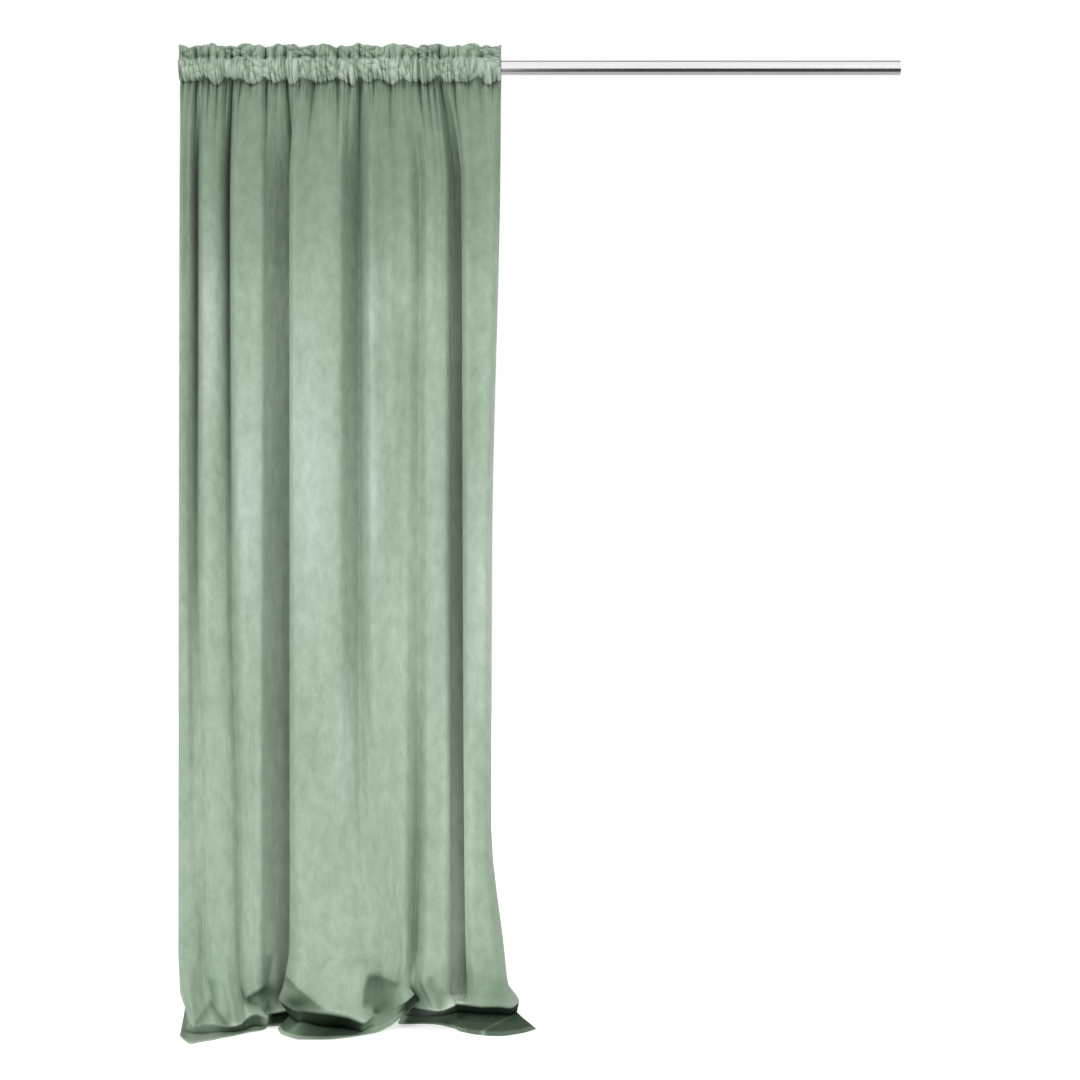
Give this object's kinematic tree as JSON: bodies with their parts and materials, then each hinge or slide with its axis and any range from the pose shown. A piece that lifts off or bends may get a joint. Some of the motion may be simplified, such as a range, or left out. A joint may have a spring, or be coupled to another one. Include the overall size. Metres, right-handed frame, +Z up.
{
  "type": "velvet drape gathered on a curtain rod",
  "caption": "Full-length velvet drape, gathered by its rod pocket under a ruffled header on a plain steel curtain rod, its hem breaking on the floor.",
  "frame": {"origin": "on the floor, under the middle of the rod's length and half-way between the cloth's front and back", "axes": "+X along the rod with the bare end at +X, +Y towards the wall, +Z up"},
  "size_m": [1.778, 0.25, 2.4236],
  "materials": {
    "velvet": "short velvet pile, sage green",
    "rod_steel": "polished"
  },
  "bodies": {
    "root": {"drape_panel": "velvet", "rod": "rod_steel"}
  },
  "joints": []
}
